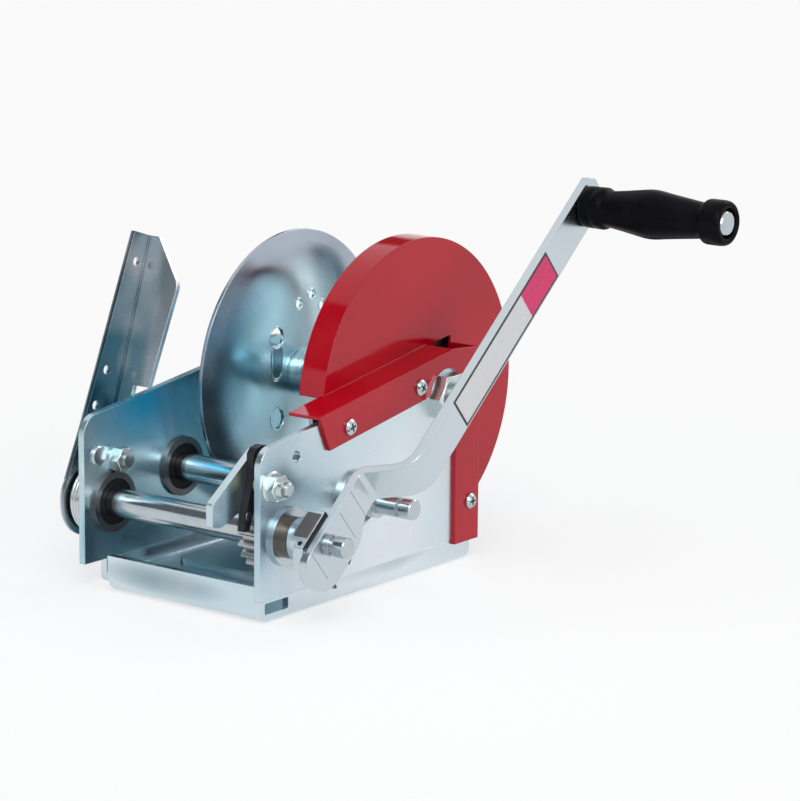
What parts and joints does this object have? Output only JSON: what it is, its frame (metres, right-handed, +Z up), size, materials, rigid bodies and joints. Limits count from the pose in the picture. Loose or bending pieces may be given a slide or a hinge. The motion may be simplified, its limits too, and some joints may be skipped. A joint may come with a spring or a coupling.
{
  "type": "hand winch",
  "caption": "Hand winch: wide rope drum driven by a crank through two geared shafts in a bent steel frame, with a gear guard, pawl and brake lever.",
  "frame": {"origin": "centre of the mounting face under the base, midway between the side plates and between the front lip and the rear edge", "axes": "+X along the drum axle towards the crank, +Y from the front lip to the back, +Z up"},
  "size_m": [0.3714, 0.3362, 0.2724],
  "materials": {
    "zinc_plate": "zinc plated, satin with a cool sheen",
    "bright_steel": "bright plated",
    "red_paint": "gloss red",
    "black_plastic": "satin black",
    "black_steel": "satin black",
    "bronze": "turned",
    "yellow_zinc": "yellow zinc plated"
  },
  "bodies": {
    "frame": {"base_plate": "zinc_plate", "left_side_plate": "zinc_plate", "right_side_plate": "zinc_plate", "first_bush_left": "black_steel", "first_bush_right": "bronze", "first_ring_right": "zinc_plate", "second_bush_left": "black_steel", "second_bush_right": "bronze", "second_ring_right": "zinc_plate", "drum_axle": "bright_steel", "axle_nut_left": "bright_steel", "axle_nut_right": "bright_steel", "gear_guard": "red_paint", "guard_screw_1": "bright_steel", "guard_screw_2": "bright_steel", "guard_screw_3": "bright_steel", "pawl_bolt": "bright_steel", "pawl_bolt_nut": "bright_steel", "pawl_spacer": "yellow_zinc", "stop_bolt": "bright_steel", "stop_bolt_washer": "bright_steel", "stop_bolt_nut": "bright_steel", "plate_rivet": "bright_steel", "lever_spring": "zinc_plate"},
    "drum": {"drum_flange": "zinc_plate", "drum_core": "zinc_plate", "drum_disc": "zinc_plate", "drum_gear": "bright_steel"},
    "first_shaft_and_crank": {"first_shaft": "bright_steel", "first_shaft_ring": "bright_steel", "first_pinion": "bright_steel", "crank_hub": "zinc_plate", "crank_arm": "zinc_plate", "latch_lever": "zinc_plate", "grip_pin": "bright_steel"},
    "second_shaft_train": {"second_shaft": "bright_steel", "second_wheel": "bright_steel", "second_pinion": "bright_steel"},
    "grip": {"crank_grip": "black_plastic"},
    "lever": {"brake_lever": "zinc_plate"},
    "pawl_with_thumb_plate": {"pawl": "black_steel", "pawl_thumb_plate": "zinc_plate", "pawl_rivet": "bright_steel"}
  },
  "joints": [
    {"name": "drum_spin", "type": "hinge", "parent": "frame", "child": "drum", "pos_m": [0, 0.08467, 0.1216], "axis": [1, 0, 0], "continuous": true},
    {"name": "second_shaft_spin", "type": "hinge", "parent": "frame", "child": "second_shaft_train", "pos_m": [0, -0.01519, 0.0666], "axis": [1, 0, 0], "continuous": true},
    {"name": "first_shaft_spin", "type": "hinge", "parent": "frame", "child": "first_shaft_and_crank", "pos_m": [0, -0.08667, 0.0545], "axis": [1, 0, 0], "continuous": true},
    {"name": "grip_spin", "type": "hinge", "parent": "first_shaft_and_crank", "child": "grip", "pos_m": [0.2, 0.14858, 0.2533], "axis": [1, 0, 0], "continuous": true},
    {"name": "lever_swing", "type": "hinge", "parent": "frame", "child": "lever", "pos_m": [-0.097, -0.08667, 0.0545], "axis": [1, 0, 0], "range_deg": [0, 50], "stiffness_Nm_per_rad": 0.6, "springref_deg": -28.65},
    {"name": "pawl_swing", "type": "hinge", "parent": "frame", "child": "pawl_with_thumb_plate", "pos_m": [0.063, -0.10297, 0.091], "axis": [-1, 0, 0], "range_deg": [0, 25]}
  ],
  "couplings": [
    {"joint": "second_shaft_spin", "follows": "drum_spin", "ratio": -5.3333},
    {"joint": "first_shaft_spin", "follows": "drum_spin", "ratio": 11.852}
  ]
}
